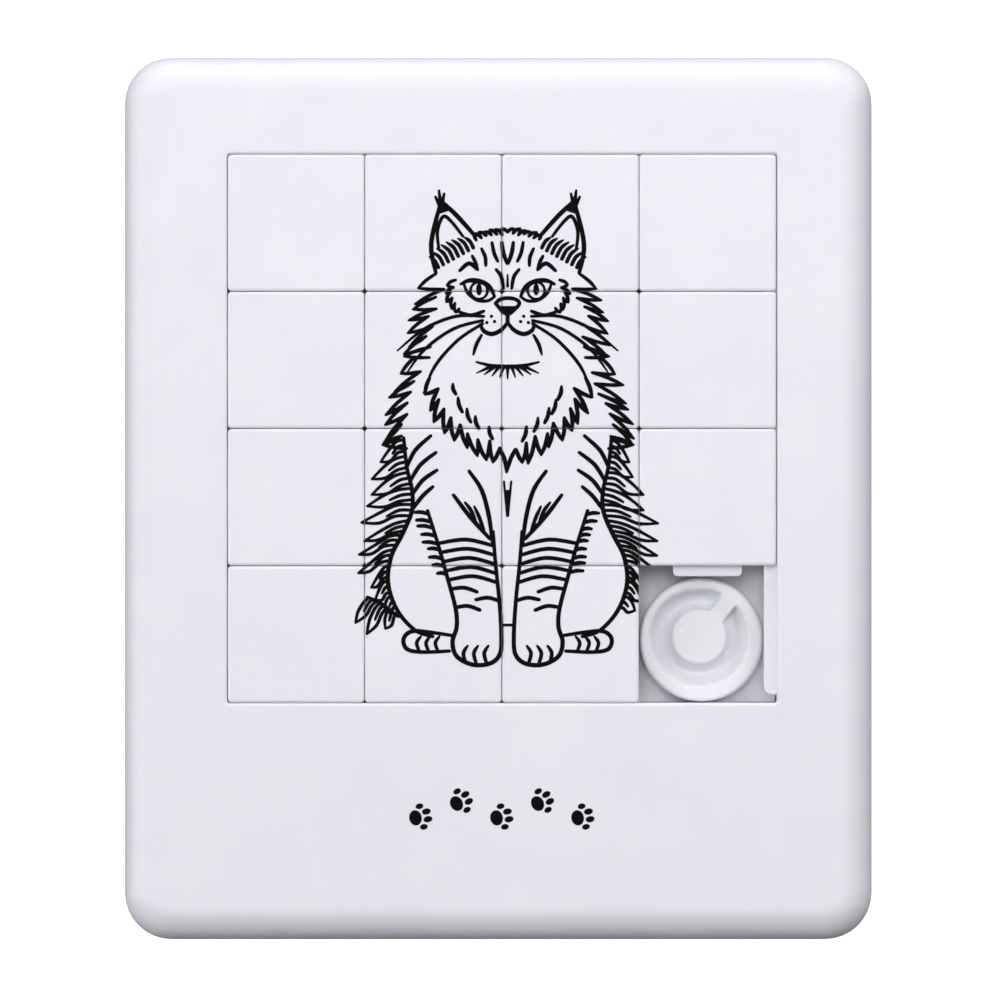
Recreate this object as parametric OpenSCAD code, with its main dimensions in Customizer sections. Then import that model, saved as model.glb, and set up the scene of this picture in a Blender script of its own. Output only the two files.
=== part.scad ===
// Sliding-tile puzzle: fifteen interlocking square tiles in a frame with sixteen cells.
// It lies on its back. +Z points out of the face and +Y towards the top edge.
// The origin is the centre of the back face. Millimetres.
//
// Every tile has a tongue on its left and lower sides and a groove along its right and upper
// sides. The frame has rails on its right and upper walls and grooves in its left and lower
// walls, so a tile can slide but can't be lifted out.

/* [Frame] */
// Width of the frame
body_w = 72; // [70:0.5:90]
// Length of the frame
body_l = 85; // [78:0.5:110]
// Overall thickness
body_h = 8; // [7.6:0.1:10]
// Radius of the frame's four corners
corner_r = 4.5; // [4.2:0.1:5.5]
// Radius of the round along the frame's front edge
edge_r = 3; // [1:0.1:3.5]
// Distance from the frame's top edge to the window
top_margin = 9.4; // [9:0.1:12]
// How far the window stands to the right of the frame's middle
window_x = 0.35; // [0:0.05:1]
// Thickness of the frame's outer walls
wall = 1.8; // [1.2:0.1:2]
// Thickness of the walls round the window
window_wall = 2.6; // [2.2:0.1:3]
// Width of the slope along the window's lip
lip = 0.3; // [0.1:0.05:0.7]

/* [Back cover] */
// Thickness of the cover plate
cover_t = 1.8; // [1.2:0.1:2.2]
// Height of the tray's floor above the back face
floor_z = 3; // [2.4:0.1:3.2]
// Gap between the cover and the frame
cover_gap = 0.1; // [0.05:0.05:0.2]
// Diameter of the pegs that hold the cover
peg_d = 2.4; // [2:0.1:3]

/* [Tiles] */
// Distance between the centres of neighbouring tiles
pitch = 13.2; // [12:0.1:13.2]
// Gap between neighbouring tiles
tile_gap = 0.12; // [0.1:0.01:0.3]
// Thickness of a tile
tile_t = 2.4; // [2.2:0.1:2.4]
// Radius of a tile's corners
tile_r = 0.35; // [0.1:0.05:0.6]

/* [Tongues and grooves] */
// Depth of the face over a groove
groove_cover = 0.85; // [0.7:0.05:0.9]
// Height of a groove
groove_h = 0.8; // [0.7:0.05:0.9]
// Depth of a groove
groove_depth = 1.3; // [1.25:0.05:1.5]
// Clearance above and below a tongue in its groove
tongue_gap = 0.1; // [0.05:0.01:0.15]
// Width of a tile's tongue
tongue_w = 6.65; // [4:0.05:8]
// How far a tile's tongue stands out
tongue_out = 1; // [0.8:0.05:1.15]
// How far the frame's rails stand out
rail_out = 1.19; // [0.9:0.01:1.2]
// Length of wall left bare past the open end of a rail
rail_end = 0.75; // [0:0.05:1.5]

/* [Round insert] */
// Outer diameter of the insert
insert_d = 11.8; // [9:0.1:11.8]
// Width of the insert's rim
rim_w = 1.3; // [0.8:0.1:1.6]
// Height of the insert
insert_h = 2.3; // [1.8:0.1:2.3]
// Diameter of the insert's central boss
boss_d = 5.2; // [3:0.1:6]
// Width of the spoke from the boss to the rim
spoke_w = 1.7; // [1:0.1:2.5]
// Direction of the spoke, in degrees from +X
spoke_angle = 51; // [0:1:359]

/* [Hidden] */
$fn = 64;
grid = 4; // cells along each side of the window
tile_count = grid * grid - 1;

function tile_name(n) = str("tile_", n < 10 ? "0" : "", n);

past = 1; // how far a cutter runs past the face that it opens
field = grid * pitch; // side of the square window
field_x0 = window_x - field / 2;
field_x1 = window_x + field / 2;
field_y1 = body_l / 2 - top_margin;
field_y0 = field_y1 - field;
field_cy = (field_y0 + field_y1) / 2;
tile_side = pitch - tile_gap;
tile_z0 = body_h - tile_t;
groove_z1 = body_h - groove_cover;
groove_z0 = groove_z1 - groove_h;
tongue_z0 = groove_z0 + tongue_gap;
tongue_h = groove_h - 2 * tongue_gap;
tongue_corner_r = 0.45;
rail_corner_r = 0.8;
ceiling_z = 6.2; // underside of the frame's front wall
socket_gap = 0.03; // all round a peg in its socket
socket_roof = 0.6; // solid left over the end of a socket
boss_r = corner_r - wall + 0.2; // a socket's boss runs into the walls on both sides of it
boss_corner_x = body_w / 2 - corner_r;
boss_corner_y = body_l / 2 - corner_r;
left_boss_x = (field_x0 - window_wall - body_w / 2 + wall) / 2;
right_boss_x = (field_x1 + window_wall + body_w / 2 - wall) / 2;
lower_boss_y = (field_y0 - window_wall - body_l / 2 + wall) / 2;
peg_points = [
    for (x = [-1, 1], y = [-1, 1]) [x * boss_corner_x, y * boss_corner_y],
    [left_boss_x, field_cy],
    [right_boss_x, field_cy],
    [0, lower_boss_y],
];
peg_h = 3.4; // above the cover plate
rib_t = 1.2;
rib_x = 15; // a stiffening rib stands this far to each side of the lower margin's middle
// The insert lies in the middle of what is left between the tongue above, the rail, the tile
// on its left and the lower wall.
insert_x = window_x + pitch + (pitch - rail_out) / 2;
insert_y = field_y0 + (pitch - tongue_out - tile_gap / 2) / 2;
rim_r = insert_d / 2;
dish_depth = 0.95; // of the hollow between the boss and the rim, below the boss's top
boss_drop = 0.15; // of the boss's top below the rim's

// A rectangle about the origin with true round corners.
module rounded_rect(w, l, r) {
    square([w - 2 * r, l], center = true);
    square([w, l - 2 * r], center = true);
    for (x = [-1, 1], y = [-1, 1])
        translate([x * (w / 2 - r), y * (l / 2 - r)]) circle(r);
}

// Half of the frame's section, standing on X, from X = 0 to X = depth, with its outer top edge round.
module edge_section(depth) {
    difference() {
        square([depth, body_h]);
        translate([depth - edge_r, body_h - edge_r]) difference() {
            square(edge_r + past);
            circle(edge_r);
        }
    }
}

// The frame's outer shape, made of a core, four straight sides and four turned corners.
module outer_block() {
    core_w = body_w - 2 * corner_r;
    core_l = body_l - 2 * corner_r;
    translate([-core_w / 2, -core_l / 2, 0]) cube([core_w, core_l, body_h]);
    for (side = [0, 180]) rotate(side) {
        translate([core_w / 2, core_l / 2, 0])
            rotate([90, 0, 0]) linear_extrude(core_l) edge_section(corner_r);
        translate([-core_w / 2, core_l / 2, 0])
            rotate([90, 0, 90]) linear_extrude(core_w) edge_section(corner_r);
        translate([core_w / 2, core_l / 2, 0]) rotate_extrude(angle = 90) edge_section(corner_r);
        translate([-core_w / 2, core_l / 2, 0])
            rotate(90) rotate_extrude(angle = 90) edge_section(corner_r);
    }
}

// The space inside the frame's outer walls, grown or shrunk by grow.
module inner_outline(grow = 0) {
    rounded_rect(body_w - 2 * wall + 2 * grow, body_l - 2 * wall + 2 * grow, corner_r - wall + grow);
}

module window_outline(grow = 0) {
    translate([window_x, field_cy]) square(field + 2 * grow, center = true);
}

// The sloped lip round the window, as a cutter.
module lip_cutter() {
    steps = lip + past;
    translate([window_x, field_cy, body_h - lip])
        linear_extrude(steps, scale = (field + 2 * steps) / field) square(field, center = true);
}

// A rail along the right wall of the window. Its lower end is open and round-cornered.
module right_rail() {
    length = field - rail_end;
    translate([field_x1, field_y0 + rail_end, tongue_z0]) linear_extrude(tongue_h) {
        translate([-rail_out, rail_corner_r]) square([rail_out + past, length - rail_corner_r + past]);
        translate([-rail_out + rail_corner_r, 0]) square([rail_out - rail_corner_r + past, length]);
        translate([-rail_out + rail_corner_r, rail_corner_r]) circle(rail_corner_r);
    }
}

// A rail along the upper wall of the window, as far as the right rail.
module top_rail() {
    length = field - rail_end;
    translate([field_x0 + rail_end, field_y1, tongue_z0]) linear_extrude(tongue_h) {
        translate([rail_corner_r, -rail_out]) square([length - rail_corner_r + past, rail_out + past]);
        translate([0, -rail_out + rail_corner_r]) square([length, rail_out - rail_corner_r + past]);
        translate([rail_corner_r, -rail_out + rail_corner_r]) circle(rail_corner_r);
    }
}

// The white shell seen from the front, hollow on its underside.
module front_frame() color("whitesmoke") {
    difference() {
        outer_block();
        translate([0, 0, -past]) linear_extrude(body_h + 2 * past) window_outline();
        translate([0, 0, -past]) linear_extrude(cover_t + past) inner_outline();
        translate([0, 0, -past]) linear_extrude(ceiling_z + past) difference() {
            inner_outline();
            window_outline(window_wall);
        }
        lip_cutter();
        translate([field_x0 - groove_depth, field_y0, groove_z0])
            cube([groove_depth + past, field, groove_h]);
        translate([field_x0, field_y0 - groove_depth, groove_z0])
            cube([field, groove_depth + past, groove_h]);
    }
    right_rail();
    top_rail();
    for (p = peg_points) translate([p[0], p[1], cover_t]) difference() {
        cylinder(r = boss_r, h = ceiling_z - cover_t);
        translate([0, 0, -past])
            cylinder(d = peg_d + 2 * socket_gap, h = past + ceiling_z - cover_t - socket_roof);
    }
    for (x = [-rib_x, rib_x])
        translate([x - rib_t / 2, -body_l / 2 + wall / 2, cover_t])
            cube([rib_t, field_y0 + body_l / 2 - wall / 2 - window_wall / 2, ceiling_z - cover_t]);
}

// The plate that closes the back. Its raised part is the tray's floor, and its pegs press into
// the frame's sockets.
module back_cover() color("whitesmoke") {
    linear_extrude(cover_t) inner_outline(-cover_gap);
    translate([0, 0, cover_t - past])
        linear_extrude(floor_z - cover_t + past) window_outline(-cover_gap);
    for (p = peg_points) translate([p[0], p[1], cover_t - past]) cylinder(d = peg_d, h = peg_h + past);
}

// A round plug that lies loose on the floor of the empty cell: a rim, a dished web and a boss
// that one spoke joins to the rim.
module round_insert() color("white") translate([insert_x, insert_y, floor_z]) {
    boss_z = insert_h - boss_drop;
    dish_in = boss_d / 2;
    dish_out = rim_r - rim_w;
    half_dish = (dish_out - dish_in) / 2;
    dish_r = (half_dish * half_dish + dish_depth * dish_depth) / (2 * dish_depth);
    rotate_extrude() {
        difference() {
            square([rim_r - rim_w / 2, boss_z]);
            translate([dish_in + half_dish, boss_z - dish_depth + dish_r]) circle(dish_r);
        }
        translate([rim_r - rim_w, 0]) square([rim_w, insert_h - rim_w / 2]);
        translate([rim_r - rim_w / 2, insert_h - rim_w / 2]) circle(rim_w / 2);
    }
    rotate(spoke_angle) translate([dish_in - spoke_w / 2, -spoke_w / 2, 0])
        cube([dish_out - dish_in + spoke_w / 2 + rim_w / 2, spoke_w, boss_z]);
}

// A tongue along +X from the middle of a tile's side, with round outer corners.
module tongue() {
    root = tile_side / 2 - groove_depth;
    reach = tile_side / 2 + tongue_out;
    translate([0, 0, tongue_z0]) linear_extrude(tongue_h) {
        translate([root, -tongue_w / 2]) square([reach - tongue_corner_r - root, tongue_w]);
        translate([root, -tongue_w / 2 + tongue_corner_r])
            square([reach - root, tongue_w - 2 * tongue_corner_r]);
        for (y = [-1, 1])
            translate([reach - tongue_corner_r, y * (tongue_w / 2 - tongue_corner_r)])
                circle(tongue_corner_r);
    }
}

// Tile number n, counted along the rows from the upper left cell.
module tile(n) {
    column = (n - 1) % grid;
    row = floor((n - 1) / grid);
    x = window_x + (column - (grid - 1) / 2) * pitch;
    y = field_cy + ((grid - 1) / 2 - row) * pitch;
    color("white") translate([x, y, 0]) {
        difference() {
            translate([0, 0, tile_z0]) linear_extrude(tile_t) rounded_rect(tile_side, tile_side, tile_r);
            translate([tile_side / 2 - groove_depth, -tile_side / 2 - past, groove_z0])
                cube([groove_depth + past, tile_side + 2 * past, groove_h]);
            translate([-tile_side / 2 - past, tile_side / 2 - groove_depth, groove_z0])
                cube([tile_side + 2 * past, groove_depth + past, groove_h]);
        }
        for (side = [180, 270]) rotate(side) tongue();
    }
}

front_frame();
back_cover();
round_insert();
for (n = [1:tile_count])
    tile(n);
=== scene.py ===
"""Looks for a sliding tile puzzle: white moulded plastic with a cat drawn in black line across the tiles.

Shapes are worked out in millimetres in the CAD frame and become metres in new_mesh(). Z points out of
the puzzle's face, +Y towards the top edge of the picture.
"""

import math
import random

import bmesh
import bpy
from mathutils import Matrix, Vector
from mathutils.geometry import delaunay_2d_cdt


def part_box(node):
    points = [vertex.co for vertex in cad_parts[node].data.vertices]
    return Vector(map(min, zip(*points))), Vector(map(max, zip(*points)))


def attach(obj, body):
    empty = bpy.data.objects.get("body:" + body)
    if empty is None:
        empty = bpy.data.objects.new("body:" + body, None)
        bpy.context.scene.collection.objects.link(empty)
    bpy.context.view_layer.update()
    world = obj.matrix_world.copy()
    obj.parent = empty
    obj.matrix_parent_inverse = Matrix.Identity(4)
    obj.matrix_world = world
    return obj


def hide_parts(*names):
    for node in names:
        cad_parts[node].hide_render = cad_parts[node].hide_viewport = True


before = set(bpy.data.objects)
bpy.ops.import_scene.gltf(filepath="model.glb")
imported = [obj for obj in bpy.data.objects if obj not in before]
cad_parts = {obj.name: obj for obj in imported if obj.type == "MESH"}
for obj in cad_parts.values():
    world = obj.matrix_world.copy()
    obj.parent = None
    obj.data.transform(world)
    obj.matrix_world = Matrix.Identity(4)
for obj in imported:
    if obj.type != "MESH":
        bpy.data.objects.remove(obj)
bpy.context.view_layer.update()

MM = 0.001
TILE_COUNT = 15


def box_mm(node):
    """The low and the high corner of a CAD node's box, in millimetres."""
    lo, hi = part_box(node)
    return lo / MM, hi / MM


# ---- Sizes ----
# They come from the frame where it gives them, and most others have the CAD source's values. The
# visual tile is a little wider than the CAD's, its tongues are longer, and the window has more room.
# Lengths are in millimetres. Only WELD, below which two points of a piece become one, is in metres.

BODY_LO, BODY_HI = box_mm("front_frame")
FACE_Z = BODY_HI.z
CORNER_R = 4.5
EDGE_R = 3.0
FOOT_R = 0.35
WALL = 1.8
WINDOW_WALL = 2.6
CEILING_Z = 6.2
COVER_T = 1.8
COVER_LO, COVER_HI = box_mm("back_cover")
FLOOR_Z = 3.0

TILE_GAP = 0.12
TILE_LO, TILE_HI = box_mm("tile_01")
PITCH = box_mm("tile_02")[1].x - TILE_HI.x
TILE_SIDE = PITCH - TILE_GAP
SOFT_TILE_SIDE = TILE_SIDE + 0.04
TILE_Z = TILE_LO.z
TILE_CORNER_R = 0.35
TILE_FACE_CORNER_R = 0.1
TILE_EDGE = 0.3
TILE_EDGE_SLOPE = 42
TILE_FOOT_R = 0.08
GROOVE_DEPTH = 1.3
GROOVE_Z1 = FACE_Z - 0.85
GROOVE_Z0 = GROOVE_Z1 - 0.8
TONGUE_GAP = 0.1
TONGUE_OUT = 1.06
TONGUE_W = 6.65
TONGUE_CORNER_R = 0.45
TONGUE_EDGE = 0.1
TONGUE_Z0 = GROOVE_Z0 + TONGUE_GAP
TONGUE_Z1 = GROOVE_Z1 - TONGUE_GAP

WINDOW_X0 = TILE_HI.x - PITCH + TILE_GAP / 2
WINDOW_X1 = WINDOW_X0 + 4 * PITCH
WINDOW_Y1 = TILE_HI.y + TILE_GAP / 2
WINDOW_Y0 = WINDOW_Y1 - 4 * PITCH
WINDOW_R = 0.25
LIP = 0.3
LIP_SLOPE = 68
RAIL_OUT = 1.19
RAIL_END = 0.75
RAIL_CORNER_R = 0.8
RAIL_EDGE = 0.22
LEFT_SLACK = 0.03
RIGHT_SLACK = 0.08
DECK_GAP = 0.02
DECK_CORNER_R = 0.2
DECK_EDGE = 0.1
PLATE_GAP = 0.1
PLATE_EDGE = 0.15

INK_T = 0.02
INK_SUNK = 0.1
INK_JOIN = 1e-5
INK_LEAST_AREA = 1e-6

SHARP_ANGLE = math.radians(30)
WELD = 1e-7


# ---- Mesh helpers ----

def new_mesh(name, verts, faces, body, material, slot, replaced=()):
    """A piece from vertices in millimetres. It rides on a body and takes the given material. The slot
    argument is not used.
    """
    mesh = bpy.data.meshes.new(name)
    mesh.from_pydata([[c * MM for c in v] for v in verts], [], faces)
    bm = bmesh.new()
    bm.from_mesh(mesh)
    bmesh.ops.remove_doubles(bm, verts=bm.verts, dist=WELD)
    bmesh.ops.recalc_face_normals(bm, faces=bm.faces)
    bm.to_mesh(mesh)
    bm.free()
    mesh.shade_smooth()
    mesh.set_sharp_from_angle(angle=SHARP_ANGLE)
    mesh.materials.append(material)
    piece = bpy.data.objects.new(name, mesh)
    bpy.context.scene.collection.objects.link(piece)
    weighted = piece.modifiers.new("flat faces stay flat", "WEIGHTED_NORMAL")
    weighted.keep_sharp = True
    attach(piece, body)
    if replaced:
        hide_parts(*replaced)
    return piece


def rounded_ring(x0, x1, y0, y1, r, z, steps=8):
    """Points round a rectangle with round corners, anticlockwise, steps + 1 to a corner."""
    ring = []
    corners = ((x1 - r, y0 + r, -90), (x1 - r, y1 - r, 0), (x0 + r, y1 - r, 90), (x0 + r, y0 + r, 180))
    for cx, cy, start in corners:
        for i in range(steps + 1):
            a = math.radians(start + 90 * i / steps)
            ring.append((cx + r * math.cos(a), cy + r * math.sin(a), z))
    return ring


def skin(rings, closed=False):
    """(vertices, faces) of the surface through rings of equal length, with end caps unless it's closed."""
    n = len(rings[0])
    verts = [p for ring in rings for p in ring]
    faces = []
    for k in range(len(rings) if closed else len(rings) - 1):
        a, b = k * n, (k + 1) % len(rings) * n
        faces += [(a + i, a + (i + 1) % n, b + (i + 1) % n, b + i) for i in range(n)]
    if not closed:
        faces.append(tuple(range(n))[::-1])
        faces.append(tuple(range((len(rings) - 1) * n, len(rings) * n)))
    return verts, faces


def block(x0, x1, y0, y1, z0, z1):
    """A sharp-edged box, to cut with."""
    return skin([[(x0, y0, z), (x1, y0, z), (x1, y1, z), (x0, y1, z)] for z in (z0, z1)])


def quarter(r, steps):
    """(inset, drop) pairs along a quarter round, from the side to the top."""
    turns = [math.radians(90 * i / steps) for i in range(steps + 1)]
    return [(r - r * math.cos(a), r - r * math.sin(a)) for a in turns]


def eased(width, slope, steps=4):
    """(inset, drop) pairs along an arc from a side of the given slope, in degrees, up to the flat."""
    radius = width / math.sin(math.radians(slope))
    turns = [math.radians(slope * (1 - i / steps)) for i in range(steps + 1)]
    return [(width - radius * math.sin(a), radius - radius * math.cos(a)) for a in turns]


def moved(part, dx, dy):
    """(vertices, faces) shifted in the plane of the face."""
    return [(x + dx, y + dy, z) for x, y, z in part[0]], part[1]


# ---- Materials ----

NOISE_LOW, NOISE_HIGH = 0.3, 0.7


def nodes_of(name):
    """A new material with its tree, its shader and the object's own coordinates."""
    material = bpy.data.materials.new(name)
    material.use_nodes = True
    tree = material.node_tree
    shader = tree.nodes["Principled BSDF"]
    coords = tree.nodes.new("ShaderNodeTexCoord")
    return material, tree, shader, coords.outputs["Object"]


def noise(tree, coords, per_mm, detail):
    texture = tree.nodes.new("ShaderNodeTexNoise")
    texture.inputs["Scale"].default_value = per_mm / MM
    texture.inputs["Detail"].default_value = detail
    texture.inputs["Roughness"].default_value = 0.5
    tree.links.new(coords, texture.inputs["Vector"])
    return texture.outputs["Fac"]


def spread(tree, value, low, high):
    """A noise value mapped from its usual range to low and high."""
    mapped = tree.nodes.new("ShaderNodeMapRange")
    mapped.inputs["From Min"].default_value = NOISE_LOW
    mapped.inputs["From Max"].default_value = NOISE_HIGH
    mapped.inputs["To Min"].default_value = low
    mapped.inputs["To Max"].default_value = high
    tree.links.new(value, mapped.inputs["Value"])
    return mapped.outputs["Result"]


def tint(tree, value, low, high):
    """A colour that goes from low to high over a noise value's usual range."""
    ramp = tree.nodes.new("ShaderNodeValToRGB")
    ramp.color_ramp.elements[0].position = NOISE_LOW
    ramp.color_ramp.elements[0].color = (*low, 1)
    ramp.color_ramp.elements[1].position = NOISE_HIGH
    ramp.color_ramp.elements[1].color = (*high, 1)
    tree.links.new(value, ramp.inputs["Fac"])
    return ramp.outputs["Color"]


def bump(tree, shader, height, distance_mm, strength):
    node = tree.nodes.new("ShaderNodeBump")
    node.inputs["Distance"].default_value = distance_mm * MM
    node.inputs["Strength"].default_value = strength
    tree.links.new(height, node.inputs["Height"])
    tree.links.new(node.outputs["Normal"], shader.inputs["Normal"])


def plastic(name, low, high, roughness, texture_mm=0.006):
    """Moulded polystyrene: cloudy off-white, a fine mould texture and a slightly uneven gloss."""
    material, tree, shader, coords = nodes_of(name)
    cloud = noise(tree, coords, 0.12, 3)
    tree.links.new(tint(tree, cloud, low, high), shader.inputs["Base Color"])
    tree.links.new(spread(tree, noise(tree, coords, 0.9, 4), *roughness), shader.inputs["Roughness"])
    bump(tree, shader, noise(tree, coords, 7, 2), texture_mm, 0.35)
    shader.inputs["IOR"].default_value = 1.5
    shader.inputs["Subsurface Weight"].default_value = 0.12
    shader.inputs["Subsurface Scale"].default_value = 0.6 * MM
    return material


def printing_ink():
    """Thin black ink with slightly uneven cover and a soft sheen."""
    material, tree, shader, coords = nodes_of("black printing ink")
    cover = noise(tree, coords, 6, 3)
    black = tint(tree, cover, (0.0012, 0.0012, 0.0014), (0.003, 0.003, 0.0035))
    tree.links.new(black, shader.inputs["Base Color"])
    tree.links.new(spread(tree, cover, 0.6, 0.75), shader.inputs["Roughness"])
    shader.inputs["Specular IOR Level"].default_value = 0.06
    bump(tree, shader, noise(tree, coords, 12, 2), 0.004, 0.3)
    return material


FRAME_PLASTIC = plastic("frame plastic", (0.80, 0.79, 0.87), (0.83, 0.82, 0.89), (0.40, 0.50))
TILE_PLASTIC = plastic("tile plastic", (0.80, 0.79, 0.87), (0.83, 0.82, 0.89), (0.38, 0.48))
COVER_PLASTIC = plastic("cover plastic", (0.74, 0.74, 0.77), (0.78, 0.78, 0.81), (0.5, 0.6), 0.012)
INSERT_PLASTIC = plastic("insert plastic", (0.80, 0.80, 0.85), (0.83, 0.83, 0.88), (0.20, 0.28))
INK = printing_ink()


# ---- Frame and cover ----

def outer_ring(inset, z):
    """A ring round the frame's outside, shrunk by inset."""
    return rounded_ring(
        BODY_LO.x + inset, BODY_HI.x - inset, BODY_LO.y + inset, BODY_HI.y - inset, CORNER_R - inset, z
    )


def window_ring(out, z):
    """A ring round the window, grown by out. Most of the tiles' slack is on the right."""
    r = WINDOW_R + max(out, 0)
    return rounded_ring(
        WINDOW_X0 - LEFT_SLACK - out, WINDOW_X1 + RIGHT_SLACK + out, WINDOW_Y0 - out, WINDOW_Y1 + out, r, z
    )


def frame_shell():
    """One closed skin: up the outside, over the edge and the face, down the window, and back underneath."""
    past_edge, before_lip = 0.4, 0.3
    rings = [outer_ring(inset, drop) for inset, drop in quarter(FOOT_R, 4)[::-1]]
    rings += [outer_ring(inset, FACE_Z - drop) for inset, drop in quarter(EDGE_R, 14)]
    rings.append(outer_ring(EDGE_R + past_edge, FACE_Z))
    rings.append(window_ring(LIP + before_lip, FACE_Z))
    rings += [window_ring(inset, FACE_Z - drop) for inset, drop in eased(LIP, LIP_SLOPE, 6)[::-1]]
    rings += [window_ring(0, COVER_T), window_ring(WINDOW_WALL, COVER_T)]
    rings += [window_ring(WINDOW_WALL, CEILING_Z), outer_ring(WALL, CEILING_Z), outer_ring(WALL, 0)]
    return skin(rings, closed=True)


def rounded_bar(x0, x1, y0, y1, z0, z1, r, edge):
    """A flat bar with round corners in plan and rounded upper and lower edges."""
    profile = quarter(edge, 3)
    rings = [rounded_ring(x0 + i, x1 - i, y0 + i, y1 - i, r - i, z0 + d) for i, d in profile[::-1]]
    rings += [rounded_ring(x0 + i, x1 - i, y0 + i, y1 - i, r - i, z1 - d) for i, d in profile]
    return skin(rings)


def rails():
    """The two rails, with their roots sunk into the window's walls."""
    root = 0.6
    right = rounded_bar(
        WINDOW_X1 - RAIL_OUT, WINDOW_X1 + root, WINDOW_Y0 + RAIL_END, WINDOW_Y1 + root,
        TONGUE_Z0, TONGUE_Z1, RAIL_CORNER_R, RAIL_EDGE,
    )
    top = rounded_bar(
        WINDOW_X0 + RAIL_END, WINDOW_X1 + root, WINDOW_Y1 - RAIL_OUT, WINDOW_Y1 + root,
        TONGUE_Z0, TONGUE_Z1, RAIL_CORNER_R, RAIL_EDGE,
    )
    return [right, top]


def combined(name, base, added=(), cut=()):
    """The base with parts added and parts cut away, as (vertices, faces) with no inner faces left."""
    made = []
    for i, (verts, faces) in enumerate([base, *added, *cut]):
        mesh = bpy.data.meshes.new(f"{name} {i}")
        mesh.from_pydata(verts, [], faces)
        bm = bmesh.new()
        bm.from_mesh(mesh)
        bmesh.ops.recalc_face_normals(bm, faces=bm.faces)
        bm.to_mesh(mesh)
        bm.free()
        made.append(bpy.data.objects.new(f"{name} {i}", mesh))
        bpy.context.scene.collection.objects.link(made[-1])
    whole = made[0]
    for i, other in enumerate(made[1:]):
        step = whole.modifiers.new("step", "BOOLEAN")
        step.operation = "UNION" if i < len(added) else "DIFFERENCE"
        step.solver = "EXACT"
        step.object = other
    evaluated = whole.evaluated_get(bpy.context.evaluated_depsgraph_get())
    verts = [tuple(v.co) for v in evaluated.data.vertices]
    faces = [tuple(p.vertices) for p in evaluated.data.polygons]
    for piece in made:
        bpy.data.objects.remove(piece)
    return verts, faces


def frame_grooves():
    """What is cut out of the window's left and lower walls for the tiles' tongues."""
    x0, y0 = WINDOW_X0 - LEFT_SLACK, WINDOW_Y0
    past = 0.4
    return [
        block(x0 - GROOVE_DEPTH, x0 + past, y0 + WINDOW_R, WINDOW_Y1 - WINDOW_R, GROOVE_Z0, GROOVE_Z1),
        block(x0 + WINDOW_R, WINDOW_X1 - WINDOW_R, y0 - GROOVE_DEPTH, y0 + past, GROOVE_Z0, GROOVE_Z1),
    ]


def make_frame():
    shape = combined("frame", frame_shell(), rails(), frame_grooves())
    new_mesh("frame_shell", *shape, "frame", FRAME_PLASTIC, "frame_plastic", ["front_frame"])


def make_cover():
    """The plate in the back, with the raised deck that is the tray's floor."""
    sunk = 0.5
    plate = rounded_bar(
        COVER_LO.x, COVER_HI.x, COVER_LO.y, COVER_HI.y, 0, COVER_T, CORNER_R - WALL - PLATE_GAP, PLATE_EDGE
    )
    deck = rounded_bar(
        WINDOW_X0 + DECK_GAP, WINDOW_X1 - DECK_GAP, WINDOW_Y0 + DECK_GAP, WINDOW_Y1 - DECK_GAP,
        COVER_T - sunk, FLOOR_Z, DECK_CORNER_R, DECK_EDGE,
    )
    shape = combined("cover", plate, [deck])
    new_mesh("cover_plate", *shape, "frame", COVER_PLASTIC, "cover_plastic", ["back_cover"])


# ---- Tiles ----

def tile_shape():
    """A tile about the origin: soft upper edges, grooves on +X and +Y, tongues on -X and -Y."""
    h = SOFT_TILE_SIDE / 2

    def ring(inset, z):
        side = h - inset
        return rounded_ring(-side, side, -side, side, max(TILE_CORNER_R - inset, TILE_FACE_CORNER_R), z, 5)

    upper, lower = eased(TILE_EDGE, TILE_EDGE_SLOPE), quarter(TILE_FOOT_R, 3)
    rings = [ring(inset, TILE_Z + drop) for inset, drop in lower[::-1]]
    rings += [ring(inset, FACE_Z - drop) for inset, drop in upper]
    root, past, half = 0.5, 1.0, TONGUE_W / 2
    tongues = [
        rounded_bar(*sides, TONGUE_Z0, TONGUE_Z1, TONGUE_CORNER_R, TONGUE_EDGE)
        for sides in ((-h - TONGUE_OUT, -h + root, -half, half), (-half, half, -h - TONGUE_OUT, -h + root))
    ]
    grooves = [
        block(h - GROOVE_DEPTH, h + past, -h - past, h + past, GROOVE_Z0, GROOVE_Z1),
        block(-h - past, h + past, h - GROOVE_DEPTH, h + past, GROOVE_Z0, GROOVE_Z1),
    ]
    return combined("tile", skin(rings), tongues, grooves)


def tile_centre(n):
    """Where a tile's middle is. Tiles are numbered along the rows from the upper left."""
    column, row = (n - 1) % 4, (n - 1) // 4
    return WINDOW_X0 + (column + 0.5) * PITCH, WINDOW_Y1 - (row + 0.5) * PITCH


def make_tiles():
    shape = tile_shape()
    for n in range(1, TILE_COUNT + 1):
        name = f"tile_{n:02d}"
        new_mesh(f"{name}_body", *moved(shape, *tile_centre(n)), name, TILE_PLASTIC, "tile_plastic", [name])


# ---- Round insert ----
# Its radius is a little larger than in CAD, as the photo's insert fills the cell, and what is inside
# its rim is a little off centre. FLASH is moulding flash on the mouth, each bit as (degrees round
# from +X, size, width in degrees). It fades out inside FLASH_END_R.

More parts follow.
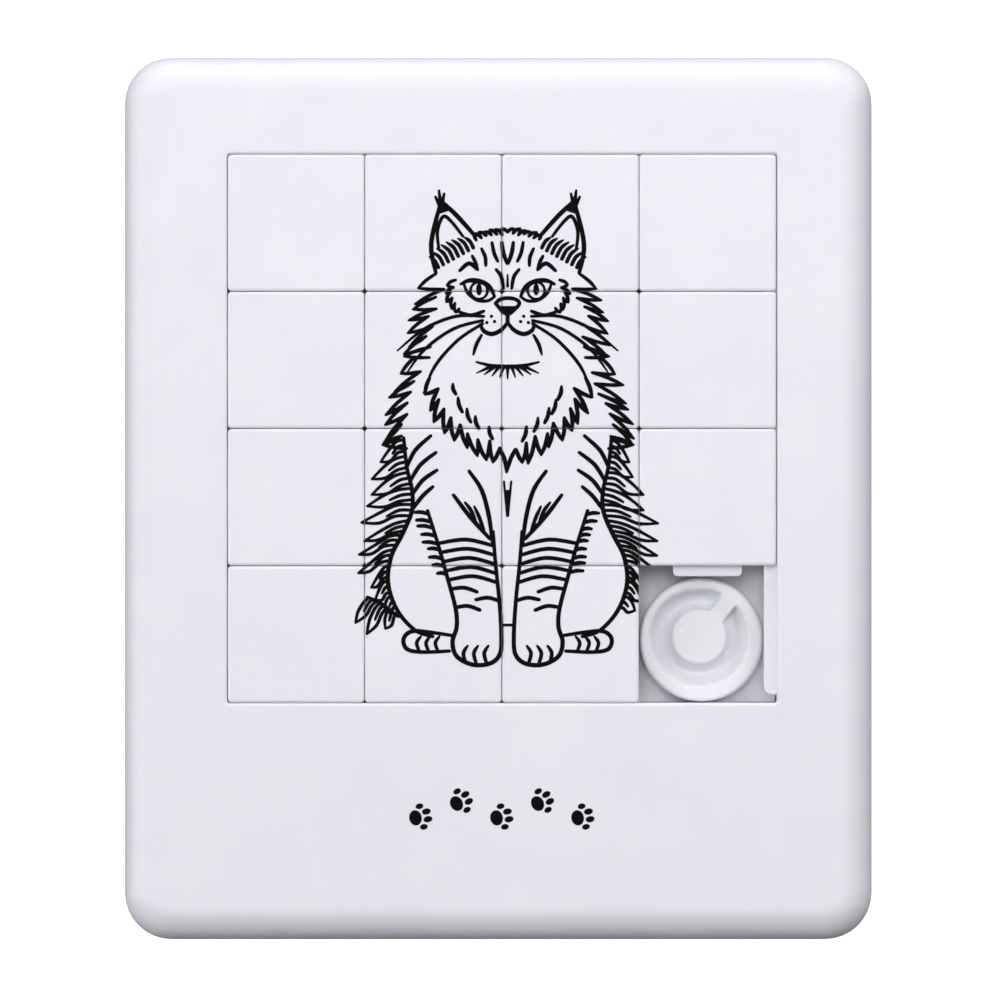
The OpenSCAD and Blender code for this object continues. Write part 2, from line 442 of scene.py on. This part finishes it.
INSERT_LO, INSERT_HI = box_mm("round_insert")
INSERT_X = (INSERT_LO.x + INSERT_HI.x) / 2
INSERT_Y = (INSERT_LO.y + INSERT_HI.y) / 2
INSERT_R = (INSERT_HI.x - INSERT_LO.x) / 2 + 0.07
INSERT_FOOT_R = 0.15
RIM_EDGE = 0.4
CREST_R = INSERT_R - RIM_EDGE
MOUTH_R = 4.65
MOUTH_EDGE = 0.35
MOUTH_SLOPE = math.radians(62)
DISH_R = 3.45
BOSS_R = 2.7
BOSS_EDGE = 0.3
BOSS_Z = INSERT_HI.z - 0.15
OFF_CENTRE = (-0.18, 0.25)
SPOKE_W = 1.7
SPOKE_ANGLE = 51
SPOKE_EDGE = 0.12
SPOKE_SIDE = 0.3
SPOKE_ROOT_R = BOSS_R - 0.2
FLASH = ((95, 0.2, 5), (84, 0.16, 2.5), (112, 0.08, 8))
FLASH_END_R = 4.1


def arc(cx, cz, r, start, end, steps):
    """Points along an arc from one direction, in degrees, to another."""
    turns = [math.radians(start + (end - start) * i / steps) for i in range(steps + 1)]
    return [(cx + r * math.cos(a), cz + r * math.sin(a)) for a in turns]


def ease(t):
    """0 up to t = 0, 1 from t = 1, and smooth between."""
    t = min(1, max(0, t))
    return t * t * (3 - 2 * t)


def insert_section():
    """(r, z) points from the foot of the insert's outer wall, over the rim and the dish, to the boss."""
    top, base = INSERT_HI.z, INSERT_LO.z
    section = arc(INSERT_R - INSERT_FOOT_R, base + INSERT_FOOT_R, INSERT_FOOT_R, -90, 0, 3)
    section += arc(CREST_R, top - RIM_EDGE, RIM_EDGE, 0, 88, 8)
    mouth_centre = MOUTH_R + MOUTH_EDGE * math.sin(MOUTH_SLOPE)
    section += arc(mouth_centre, top - MOUTH_EDGE, MOUTH_EDGE, 90, 90 + math.degrees(MOUTH_SLOPE), 6)
    width = MOUTH_R - DISH_R
    depth = width * math.tan(MOUTH_SLOPE) * 2 / math.pi
    deepest = section[-1][1] - depth
    for i in range(1, 13):
        share = 1 - i / 12
        section.append((DISH_R + width * share, deepest + depth * (1 - math.cos(math.pi / 2 * share))))
    rise = BOSS_Z - BOSS_EDGE - deepest
    for i in range(1, 7):
        share = i / 6
        height = deepest + rise * (1 - math.cos(math.pi / 2 * share))
        section.append((DISH_R - (DISH_R - BOSS_R) * share, height))
    return section + arc(BOSS_R - BOSS_EDGE, BOSS_Z - BOSS_EDGE, BOSS_EDGE, 20, 90, 6)


def with_flash(r, turn):
    """A radius drawn in where there is flash on the mouth."""
    flash = sum(size * math.exp(-((turn - at) / width) ** 2) for at, size, width in FLASH)
    on_inner_edge = ease((CREST_R - r) / 0.4) * ease((r - FLASH_END_R) / 0.3)
    return r - flash * on_inner_edge


def with_spoke(z, r, reach, turn):
    """A height raised to the spoke's top where the spoke runs, with soft sides."""
    off = math.radians(turn - SPOKE_ANGLE)
    spoke_z = BOSS_Z + (INSERT_HI.z - BOSS_Z) * ease((r - BOSS_R) / (MOUTH_R - BOSS_R))
    if math.cos(off) <= 0 or not SPOKE_ROOT_R < r < CREST_R or z >= spoke_z:
        return z
    from_spoke = abs(reach * math.sin(off)) - SPOKE_W / 2
    return z + (spoke_z - z) * (1 - ease((from_spoke + SPOKE_EDGE) / SPOKE_SIDE))


def insert_turns():
    """Degrees at which the insert's rings have points: all round, and closer beside the spoke."""
    around, beside_spoke = 96, 5.4
    turns = {360 / around * i for i in range(around)}
    turns |= {SPOKE_ANGLE + side * (beside_spoke + i) for side in (-1, 1) for i in range(20)}
    return sorted(turns)


def make_insert():
    """A plug with a soft rim, a dish, a flat boss, and a spoke that runs flush from the boss to the rim."""
    rings = []
    for r, z in insert_section():
        inside_rim = ease((CREST_R - r) / 0.6)
        x0 = INSERT_X + OFF_CENTRE[0] * inside_rim
        y0 = INSERT_Y + OFF_CENTRE[1] * inside_rim
        ring = []
        for turn in insert_turns():
            reach = with_flash(r, turn)
            a = math.radians(turn)
            ring.append((x0 + reach * math.cos(a), y0 + reach * math.sin(a), with_spoke(z, r, reach, turn)))
        rings.append(ring)
    shape = skin(rings)
    new_mesh("insert_plug", *shape, "round_insert", INSERT_PLASTIC, "insert_plastic", ["round_insert"])


make_frame()
make_cover()
make_tiles()
make_insert()


# ---- Line drawing ----
# A stroke is a list of convex polygons. Everything is in millimetres on the face.

PEN = 0.42


def disc(x, y, r, sides=10):
    """A round dot as a regular polygon."""
    return [(x + r * math.cos(2 * math.pi * i / sides), y + r * math.sin(2 * math.pi * i / sides))
            for i in range(sides)]


def smooth(points, steps=5):
    """A Catmull-Rom curve through the points."""
    if len(points) < 3:
        return list(points)
    ends = [points[0], *points, points[-1]]
    path = []
    for a, b, c, d in zip(ends, ends[1:], ends[2:], ends[3:]):
        for i in range(steps):
            t = i / steps
            path.append(tuple(
                0.5 * (2 * q + (r - p) * t + (2 * p - 5 * q + 4 * r - s) * t ** 2
                       + (3 * q - p - 3 * r + s) * t ** 3)
                for p, q, r, s in zip(a, b, c, d)
            ))
    return path + [points[-1]]


def ribbon(path, width=PEN, ends=(1.0, 1.0)):
    """A pen stroke along a path, its width at each end a share of the full width."""
    no_length = 1e-4
    n = len(path) - 1
    shapes = []
    halves = []
    for i in range(n + 1):
        t = i / n
        near = ends[0] + (1 - ends[0]) * min(1, t * 3)
        far = ends[1] + (1 - ends[1]) * min(1, (1 - t) * 3)
        halves.append(width / 2 * min(1.0, near, far))
    for i in range(n):
        (x0, y0), (x1, y1) = path[i], path[i + 1]
        length = math.hypot(x1 - x0, y1 - y0)
        if length < no_length:
            continue
        nx, ny = -(y1 - y0) / length, (x1 - x0) / length
        a, b = halves[i], halves[i + 1]
        shapes.append([(x0 - nx * a, y0 - ny * a), (x1 - nx * b, y1 - ny * b),
                       (x1 + nx * b, y1 + ny * b), (x0 + nx * a, y0 + ny * a)])
    shapes += [disc(x, y, r, 10 if i in (0, n) else 8) for i, ((x, y), r) in enumerate(zip(path, halves))]
    return shapes


def pen(points, width=PEN, ends=(0.7, 0.7), steps=5):
    """A pen stroke along the smooth curve through the points."""
    return ribbon(smooth(points, steps), width, ends)


def flip(points, side):
    """Points for the right half of the drawing, mirrored where side is -1."""
    return [(side * x, y) for x, y in points]


def along(path, share):
    """The point at a share of a path's length, and the direction there."""
    lengths = [math.dist(a, b) for a, b in zip(path, path[1:])]
    left = share * sum(lengths)
    for (a, b), length in zip(zip(path, path[1:]), lengths):
        if left <= length or (a, b) == (path[-2], path[-1]):
            t = left / length
            return (a[0] + (b[0] - a[0]) * t, a[1] + (b[1] - a[1]) * t), (
                (b[0] - a[0]) / length, (b[1] - a[1]) / length)
        left -= length


def bowed(a, b, bow):
    """A three-point arc from a to b that stands off its chord by bow, to the left of the way."""
    mx, my = (a[0] + b[0]) / 2, (a[1] + b[1]) / 2
    length = math.dist(a, b) or 1
    return [a, (mx - (b[1] - a[1]) / length * bow, my + (b[0] - a[0]) / length * bow), b]


def fur_edge(guide, tufts, reach, lean, side, seed, width=PEN, depth=0.5):
    """A ragged outline down a guide: each tuft runs out to a tip that leans down the guide, and back in."""
    draw = random.Random(seed)
    path = smooth(guide, 6)
    shapes = []
    start, _ = along(path, 0)
    for i in range(tufts):
        share = min(1.0, (i + 1.0 + lean * draw.uniform(0.6, 1.3)) / tufts)
        (x, y), (dx, dy) = along(path, share)
        out = reach * draw.uniform(0.7, 1.3)
        tip = (x - side * dy * out, y + side * dx * out)
        (x, y), (dx, dy) = along(path, (i + 1) / tufts)
        inner = depth * draw.uniform(0.6, 1.4)
        back = (x + side * dy * inner, y - side * dx * inner)
        shapes += pen(bowed(start, tip, side * 0.1), width, (0.8, 0.6), 3)
        shapes += pen(bowed(tip, back, side * 0.06), width, (0.6, 0.8), 3)
        start = back
    return shapes


def plume(guide, rim, tufts, side, seed, lag=0.07, width=0.34):
    """Long tufts from a guide to a rim: two strokes that meet in a tip, and a shorter one between them."""
    draw = random.Random(seed)
    root, far = smooth(guide, 6), smooth(rim, 6)
    shapes = []
    for i in range(tufts):
        (x, y), _ = along(far, min(1, (i + draw.uniform(0.35, 0.65)) / tufts + lag))
        tip = (x + side * draw.uniform(-0.6, 0.5), y)
        (x, y), _ = along(root, (i + 0.5) / tufts)
        dx, dy = tip[0] - x, tip[1] - y
        arch = draw.uniform(0.15, 0.35)
        for part, reach in ((0.12, 0.62), (0.48, 0.5), (0.82, 0.62)):
            (x, y), _ = along(root, (i + part) / tufts)
            stroke = [(x, y), (x + dx * reach / 2, y + dy * reach / 2 + arch)]
            stroke.append((x + dx * reach, y + dy * reach))
            if reach > 0.5:
                stroke.append(tip)
            shapes += pen(stroke, width, (0.9, 0.7), 4)
    return shapes


def ticks(guide, count, dx, dy, side, seed, width=PEN):
    """Short loose hairs that start along a guide and run by about (dx, dy)."""
    draw = random.Random(seed)
    path = smooth(guide, 6)
    shapes = []
    for i in range(count):
        (x, y), _ = along(path, (i + draw.uniform(0.3, 0.7)) / count)
        size = draw.uniform(0.7, 1.2)
        end = (x + side * dx * size, y + dy * size)
        shapes += pen(bowed((x, y), end, side * 0.12), width, (0.6, 0.8), 3)
    return shapes


def cat_head(side, seed):
    """One half of the head. side is -1 for the left half and 1 for the right."""
    shapes = []

    def line(points, width=PEN, ends=(0.8, 0.8)):
        shapes.extend(pen(flip(points, side), width, ends))

    line([(6.9, 21.7), (7.35, 24.5), (6.4, 28.6)], 0.46)
    line([(6.4, 28.6), (4.9, 27.2), (3.1, 25.2)], 0.46)
    for tip in ((6.95, 29.0), (6.6, 29.6), (6.1, 29.3)):
        line([(6.4, 27.9), tip], 0.5, (1.0, 0.5))
    shapes.append(flip([(5.5, 27.7), (6.7, 27.3), (6.5, 28.8)], side))
    line([(6.6, 23.9), (6.75, 25.7), (6.2, 27.1), (5.4, 26.6), (4.3, 25.2)], 0.36)
    for i in range(8):
        x, y = 3.3 + 0.48 * i, 24.1 - 0.27 * i
        reach = 0.8 + 0.5 * math.sin(math.pi * (i + 1) / 9)
        hair = [(x, y), (x + 0.35 * reach, y + 0.65 * reach), (x + 0.9 * reach, y + 1.05 * reach)]
        line(hair, 0.38, (1.0, 0.4))
    crown = flip([(0, 25.6), (1.6, 25.55), (3.1, 25.1)], side)
    shapes.extend(fur_edge(crown, 6, 0.32, 0.2, side, seed, 0.38, 0.2))
    line([(0.55, 24.6), (0.4, 23.6), (0.05, 22.6)])
    line([(1.5, 24.6), (1.3, 23.6), (0.95, 22.8)], 0.38)
    line([(2.5, 24.0), (2.15, 23.2), (2.1, 22.4)], 0.38)
    line([(4.6, 21.9), (3.7, 22.6), (2.9, 22.0)], 0.42)
    line([(3.4, 23.3), (3.1, 22.7), (2.9, 22.0)], 0.38)
    line([(1.1, 22.0), (0.6, 21.3), (0.4, 20.2)], 0.38)
    line([(4.5, 20.6), (3.7, 20.95), (2.6, 20.85), (1.7, 20.3), (1.25, 19.4)], 0.48, (0.6, 0.6))
    line([(4.2, 20.6), (3.8, 19.7), (2.9, 19.05), (1.9, 19.0), (1.25, 19.4)], 0.34)
    iris = disc(2.75, 19.98, 0.82, 24)
    shapes.extend(ribbon(flip(iris + iris[:1], side), 0.26))
    turns = [math.radians(30 * i) for i in range(12)]
    shapes.append(flip([(2.75 + 0.28 * math.cos(a), 20.1 + 0.6 * math.sin(a)) for a in turns], side))
    cheek = flip([(5.0, 21.0), (5.7, 20.0), (5.5, 18.9), (4.8, 18.1)], side)
    shapes.extend(fur_edge(cheek, 5, 0.32, 0.3, side, seed + 1, 0.36, 0.25))
    line([(4.6, 17.9), (3.5, 17.6), (2.3, 18.0)], 0.4)
    line([(0, 16.9), (0.6, 16.2), (1.5, 15.8), (2.3, 16.1), (2.6, 16.7)], 0.44)
    for x, y in ((1.55, 17.5), (1.25, 17.0), (2.0, 16.9)):
        shapes.append(disc(side * x, y, 0.17))
    line([(2.3, 17.5), (5.0, 17.5), (8.0, 16.3), (10.6, 14.2)], 0.34, (0.9, 0.5))
    line([(2.4, 17.1), (5.2, 16.3), (7.9, 14.4), (9.6, 12.2)], 0.34, (0.9, 0.5))
    line([(2.4, 16.8), (4.8, 15.2), (7.0, 12.7), (8.1, 10.1)], 0.34, (0.9, 0.5))
    line([(2.5, 15.7), (3.0, 14.8), (3.3, 13.8)], 0.38, (0.7, 0.5))
    neck = flip([(6.9, 21.6), (7.7, 19.8), (8.5, 17.6), (8.8, 15.4), (8.9, 13.6)], side)
    shapes.extend(fur_edge(neck, 8, 0.9, 1.1, side, seed + 2, 0.36, 1.15))
    return shapes


def cat_middle():
    """What lies on the cat's middle line: nose, chin, ruff and breast."""
    shapes = pen([(0, 21.5), (0, 20.4)], 0.36, (0.5, 0.8))
    nose = [(-1.15, 18.75), (-0.6, 19.2), (0.6, 19.2), (1.15, 18.75),
            (0.55, 18.05), (0, 17.7), (-0.55, 18.05)]
    shapes += ribbon(smooth(nose + nose[:1], 3), 0.38)
    shapes.append([(-0.8, 18.5), (0, 17.7), (0.8, 18.5)])
    shapes += pen([(0, 17.7), (0, 16.9)], 0.4, (1, 1))
    shapes += pen([(-3.0, 13.1), (-1.5, 12.75), (0, 12.65), (1.5, 12.75), (3.0, 13.1)], 0.42, (0.5, 0.5))
    for i in range(9):
        x = (i - 4) * 0.55
        shapes += pen([(x * 0.7, 12.7), (x * 1.35, 11.5 + abs(x) * 0.25)], 0.4, (1, 0.35))
    for side, seed in ((-1, 31), (1, 34)):
        ruff = flip([(7.5, 11.6), (7.0, 9.0), (5.3, 6.8), (3.1, 5.1), (1.1, 4.1)], side)
        shapes += fur_edge(ruff, 9, 0.85, 0.5, side, seed, 0.42, 0.75)
        inner_ruff = flip([(5.4, 11.4), (4.6, 9.4), (3.0, 7.8), (1.4, 6.6)], side)
        shapes += ticks(inner_ruff, 5, -0.35, -1.2, side, seed + 1)
        shapes += pen(flip([(0.35, 1.6), (0.04, -1.7)], side), 0.38, (0.6, 0.6))
    for side in (-1, 1):
        shapes += pen([(0.75 * side, 4.7), (0.3 * side, 3.8), (-0.1, 2.5)], PEN, (0.8, 0.6))
    shapes.append([(-0.25, 0.8), (0, -1.6), (0.25, 0.8)])
    shapes += pen([(-0.6, -12.2), (0.6, -12.2)], 0.4)
    return shapes


FLANK = [(10.0, 5.8), (9.7, 3.0), (9.2, 0.8), (9.2, -1.2), (10.1, -3.4), (11.2, -5.6), (11.5, -8.2),
         (10.6, -10.8), (8.9, -12.7), (7.2, -13.3)]
OUTSIDE = [(11.6, 5.4), (12.5, 2.4), (13.5, -0.6), (14.2, -3.4), (14.2, -6.2), (13.2, -9.0), (12.0, -10.8)]
LEG_OUT = [(7.7, -1.2), (6.7, -4.4), (5.8, -7.6), (5.0, -10.6), (4.9, -12.4)]
LEG_IN = [(1.4, -3.2), (1.15, -6.4), (0.8, -9.8), (0.6, -13.2)]


def x_at(guide, y):
    """Where a guide that runs downwards passes a height."""
    for (x0, y0), (x1, y1) in zip(guide, guide[1:]):
        if y0 >= y >= y1:
            return x0 + (x1 - x0) * (y0 - y) / (y0 - y1)


def cat_body(side, seed):
    """One half of the body: shoulder, flank, haunch, foreleg and paws."""
    shapes = []

    def line(points, width=PEN, ends=(0.8, 0.8)):
        shapes.extend(pen(flip(points, side), width, ends))

    shoulder = flip([(8.9, 13.6), (9.9, 11.0), (10.7, 8.2), (11.2, 5.0)], side)
    shapes.extend(fur_edge(shoulder, 8, 0.9, 1.3, side, seed, 0.38, 1.1))
    line(FLANK, 0.44)
    shapes.extend(plume(flip(FLANK[:8], side), flip(OUTSIDE, side), 11, side, seed + 3))
    line([(9.7, 3.0), (8.9, 4.6), (7.4, 6.0)])
    line([(9.4, 1.6), (8.4, 3.2), (6.9, 4.4)])
    line([(9.2, 0.3), (8.2, 1.7), (6.8, 2.7)])
    line([(9.1, -1.0), (8.2, 0.2), (7.2, 1.1)])
    line([(3.7, 2.6), (2.5, 0.8), (1.8, -1.7), (1.45, -4.3)], 0.44)
    line([(5.2, 0.3), (3.6, -1.8), (1.7, -3.9)], 0.44)
    line([(4.1, -0.4), (3.5, -1.2), (3.1, -2.2)], 0.38, (0.6, 0.9))
    line([(3.2, -0.8), (2.7, -1.9), (2.3, -3.1)], 0.38, (0.6, 0.9))
    paw = [(5.3, -13.8), (4.9, -15.2), (3.4, -16.0), (1.7, -15.9), (0.75, -15.0)]
    line(LEG_OUT + paw + LEG_IN[::-1], 0.44)
    shapes.extend(ticks(flip(LEG_OUT[:3], side), 9, 1.25, 0.2, side, seed + 4, 0.4))
    for i in range(8):
        y = -4.6 - 0.88 * i
        inner, outer = x_at(LEG_IN, y), x_at(LEG_OUT, y + 0.25)
        near, far = (0.0, 1.0) if i < 5 else ((0.45, 1.0) if i % 2 else (0.0, 0.5))
        start = (inner + (outer - inner) * near, y)
        end = (inner + (outer - inner) * far, y + 0.25 * far)
        line(bowed(start, end, 0.5 * (far - near)), 0.4, (0.9, 0.9))
    for x in (4.0, 3.0, 2.0):
        line([(x - 0.15, -14.2), (x + 0.25, -14.9), (x + 0.05, -15.8)], 0.38, (0.6, 0.9))
    hind_paw = [(5.4, -13.2), (7.4, -12.9), (9.2, -12.8), (10.0, -13.5), (9.7, -14.5)]
    line(hind_paw + [(8.2, -14.8), (5.6, -14.7)], 0.42)
    for x in (6.7, 7.6, 8.5):
        line([(x - 0.15, -13.3), (x + 0.25, -13.9), (x + 0.05, -14.6)], 0.36, (0.6, 0.9))
    return shapes


def cat_tail():
    """The tail's end, out from behind the left haunch, in a few dark tufts."""
    root = [(-13.5, -9.5), (-12.1, -10.2), (-10.5, -11.4)]
    tips = [(-14.4, -11.2), (-14.9, -13.2), (-13.1, -12.8), (-11.2, -12.4)]
    return pen(root, 0.42) + plume(root, tips, 3, -1, 51, 0.0)


def cat():
    """The whole drawing, moved to its place on the face."""
    shapes = cat_middle() + cat_tail()
    for side, seed in ((-1, 11), (1, 71)):
        shapes += cat_head(side, seed) + cat_body(side, seed + 20)
    centre_x = 0.9
    return [[(x + centre_x, y) for x, y in shape] for shape in shapes]


def paw_print(x, y, size, turn):
    """A pad with four toes."""
    spots = [(0, -0.35, 0.55, 0.45), (-0.75, 0.1, 0.2, 0.28), (-0.28, 0.5, 0.22, 0.32),
             (0.28, 0.5, 0.22, 0.32), (0.75, 0.1, 0.2, 0.28)]
    a = math.radians(turn)
    shapes = []
    for sx, sy, rx, ry in spots:
        rounds = [2 * math.pi * i / 20 for i in range(20)]
        oval = [(sx + rx * math.cos(t), sy + ry * math.sin(t)) for t in rounds]
        shapes.append([(x + size * (px * math.cos(a) - py * math.sin(a)),
                        y + size * (px * math.sin(a) + py * math.cos(a))) for px, py in oval])
    return shapes


def paw_row():
    """A small walking row of paw prints in the frame's lower margin."""
    middle_x, middle_y, pace, aside, size = 0.3, -29.9, 3.9, 0.75, 1.35
    shapes = []
    for i in range(5):
        foot = 1 if i % 2 else -1
        shapes += paw_print(middle_x + (i - 2) * pace, middle_y + foot * aside, size, -70 + foot * 8)
    return shapes


def touches(shape, outline):
    """Whether two outlines' bounding boxes overlap."""
    return (min(p[0] for p in shape) < max(p[0] for p in outline)
            and max(p[0] for p in shape) > min(p[0] for p in outline)
            and min(p[1] for p in shape) < max(p[1] for p in outline)
            and max(p[1] for p in shape) > min(p[1] for p in outline))


def area_of(shape):
    """The area inside an outline, negative if it runs clockwise."""
    return sum(a[0] * b[1] - b[0] * a[1] for a, b in zip(shape, shape[1:] + shape[:1])) / 2


def print_ink(name, shapes, outline, body):
    """Ink inside an outline: the union of the shapes there, as a thin closed layer on the face.

    The triangles that both the outline and a shape cover are the ink.
    """
    inside_only = 1
    polygons = [outline] + [s if area_of(s) > 0 else s[::-1] for s in shapes
                            if touches(s, outline) and abs(area_of(s)) > INK_LEAST_AREA]
    if len(polygons) == 1:
        return
    verts, faces = [], []
    for polygon in polygons:
        faces.append(list(range(len(verts), len(verts) + len(polygon))))
        verts += [Vector(p) for p in polygon]
    flat, _, triangles, _, _, sources = delaunay_2d_cdt(verts, [], faces, inside_only, INK_JOIN)
    inked = [t for t, source in zip(triangles, sources) if 0 in source and len(source) > 1]
    if not inked:
        return
    used = sorted({i for t in inked for i in t})
    place = {v: i for i, v in enumerate(used)}
    count = len(used)
    top = [tuple(place[i] for i in t) for t in inked]
    solid = [(flat[i].x, flat[i].y, FACE_Z + INK_T) for i in used]
    solid += [(flat[i].x, flat[i].y, FACE_Z - INK_SUNK) for i in used]
    edges = dict.fromkeys(edge for t in top for edge in zip(t, t[1:] + t[:1]))
    walls = [(a, a + count, b + count, b) for a, b in edges if (b, a) not in edges]
    bottom = [tuple(i + count for i in reversed(t)) for t in top]
    new_mesh(name, solid, top + bottom + walls, body, INK, "print_ink")


def make_drawing():
    """Each tile's part of the cat, and the paw prints inside an outline in the lower margin."""
    drawing = cat()
    h = SOFT_TILE_SIDE / 2
    for n in range(1, TILE_COUNT + 1):
        x, y = tile_centre(n)
        outline = [p[:2] for p in rounded_ring(x - h, x + h, y - h, y + h, TILE_CORNER_R, 0, 4)]
        print_ink(f"tile_{n:02d}_ink", drawing, outline, f"tile_{n:02d}")
    x, y0, y1 = 12, -36, -24
    print_ink("paw_prints", paw_row(), [(-x, y0), (x, y0), (x, y1), (-x, y1)], "frame")


make_drawing()


# ---- Floor, light and camera ----

def make_floor():
    """A white floor, just under the puzzle so that their surfaces don't coincide. It lights nothing."""
    mesh = bpy.data.meshes.new("floor")
    half = 8.0
    corners = [(-half, -half, 0), (half, -half, 0), (half, half, 0), (-half, half, 0)]
    mesh.from_pydata(corners, [], [(0, 1, 2, 3)])
    floor = bpy.data.objects.new("floor", mesh)
    floor.location.z = -0.05 * MM
    bpy.context.scene.collection.objects.link(floor)
    material = bpy.data.materials.new("white floor")
    material.use_nodes = True
    shader = material.node_tree.nodes["Principled BSDF"]
    shader.inputs["Base Color"].default_value = (0.9, 0.9, 0.9, 1)
    shader.inputs["Roughness"].default_value = 0.9
    shader.inputs["Specular IOR Level"].default_value = 0.1
    shader.inputs["Emission Color"].default_value = (1, 1, 1, 1)
    shader.inputs["Emission Strength"].default_value = 0.9
    mesh.materials.append(material)
    floor.visible_diffuse = False
    floor.visible_glossy = False


def area_light(name, place, size, power):
    """A square soft light that points at the puzzle's middle. Metres and watts."""
    light = bpy.data.lights.new(name, "AREA")
    light.shape = "SQUARE"
    light.size = size
    light.energy = power
    lamp = bpy.data.objects.new(name, light)
    lamp.location = place
    lamp.rotation_euler = (Vector((0, 0, 0)) - Vector(place)).to_track_quat("-Z", "Y").to_euler()
    bpy.context.scene.collection.objects.link(lamp)


def make_light():
    """Soft boxes: (direction round from +X, height above the table, metres away, watts at one metre)."""
    world = bpy.data.worlds.new("soft studio")
    bpy.context.scene.world = world
    world.use_nodes = True
    world.node_tree.nodes["Background"].inputs["Color"].default_value = (1, 1, 1, 1)
    world.node_tree.nodes["Background"].inputs["Strength"].default_value = 0.13
    boxes = {
        "low back": (90, 10, 0.5, 3.5), "high back": (90, 72, 0.5, 2.7), "overhead": (90, 87, 1, 1.2),
        "back right": (45, 20, 0.7, 1.85), "right": (20, 45, 0.7, 1.95),
        "front": (270, 8, 1, 0.45), "low left": (180, 12, 1, 2.0), "left": (180, 35, 1, 2.15),
    }
    size_at_a_metre = 0.45
    for name, (round_from_x, above, away, watts) in boxes.items():
        a, b = math.radians(round_from_x), math.radians(above)
        place = (away * math.cos(b) * math.cos(a), away * math.cos(b) * math.sin(a), away * math.sin(b))
        area_light(name, place, size_at_a_metre * away, watts * away ** 2)
    area_light("glint", (-0.4, 0.6, 0.7), 0.35, 1.1)


def make_camera():
    """Straight above, far enough for hardly any perspective. Metres, and millimetres in the camera."""
    height = 1.5
    shown_width = 0.0964
    shown_at = 0.005
    camera = bpy.data.cameras.new("camera")
    camera.sensor_width = 36
    camera.lens = camera.sensor_width * (height - shown_at) / shown_width
    camera.clip_end = 10
    eye = bpy.data.objects.new("camera", camera)
    eye.location = (0.00017, -0.00017, height)
    bpy.context.scene.collection.objects.link(eye)
    bpy.context.scene.camera = eye


make_floor()
make_light()
make_camera()
bpy.context.scene.view_settings.view_transform = "Standard"
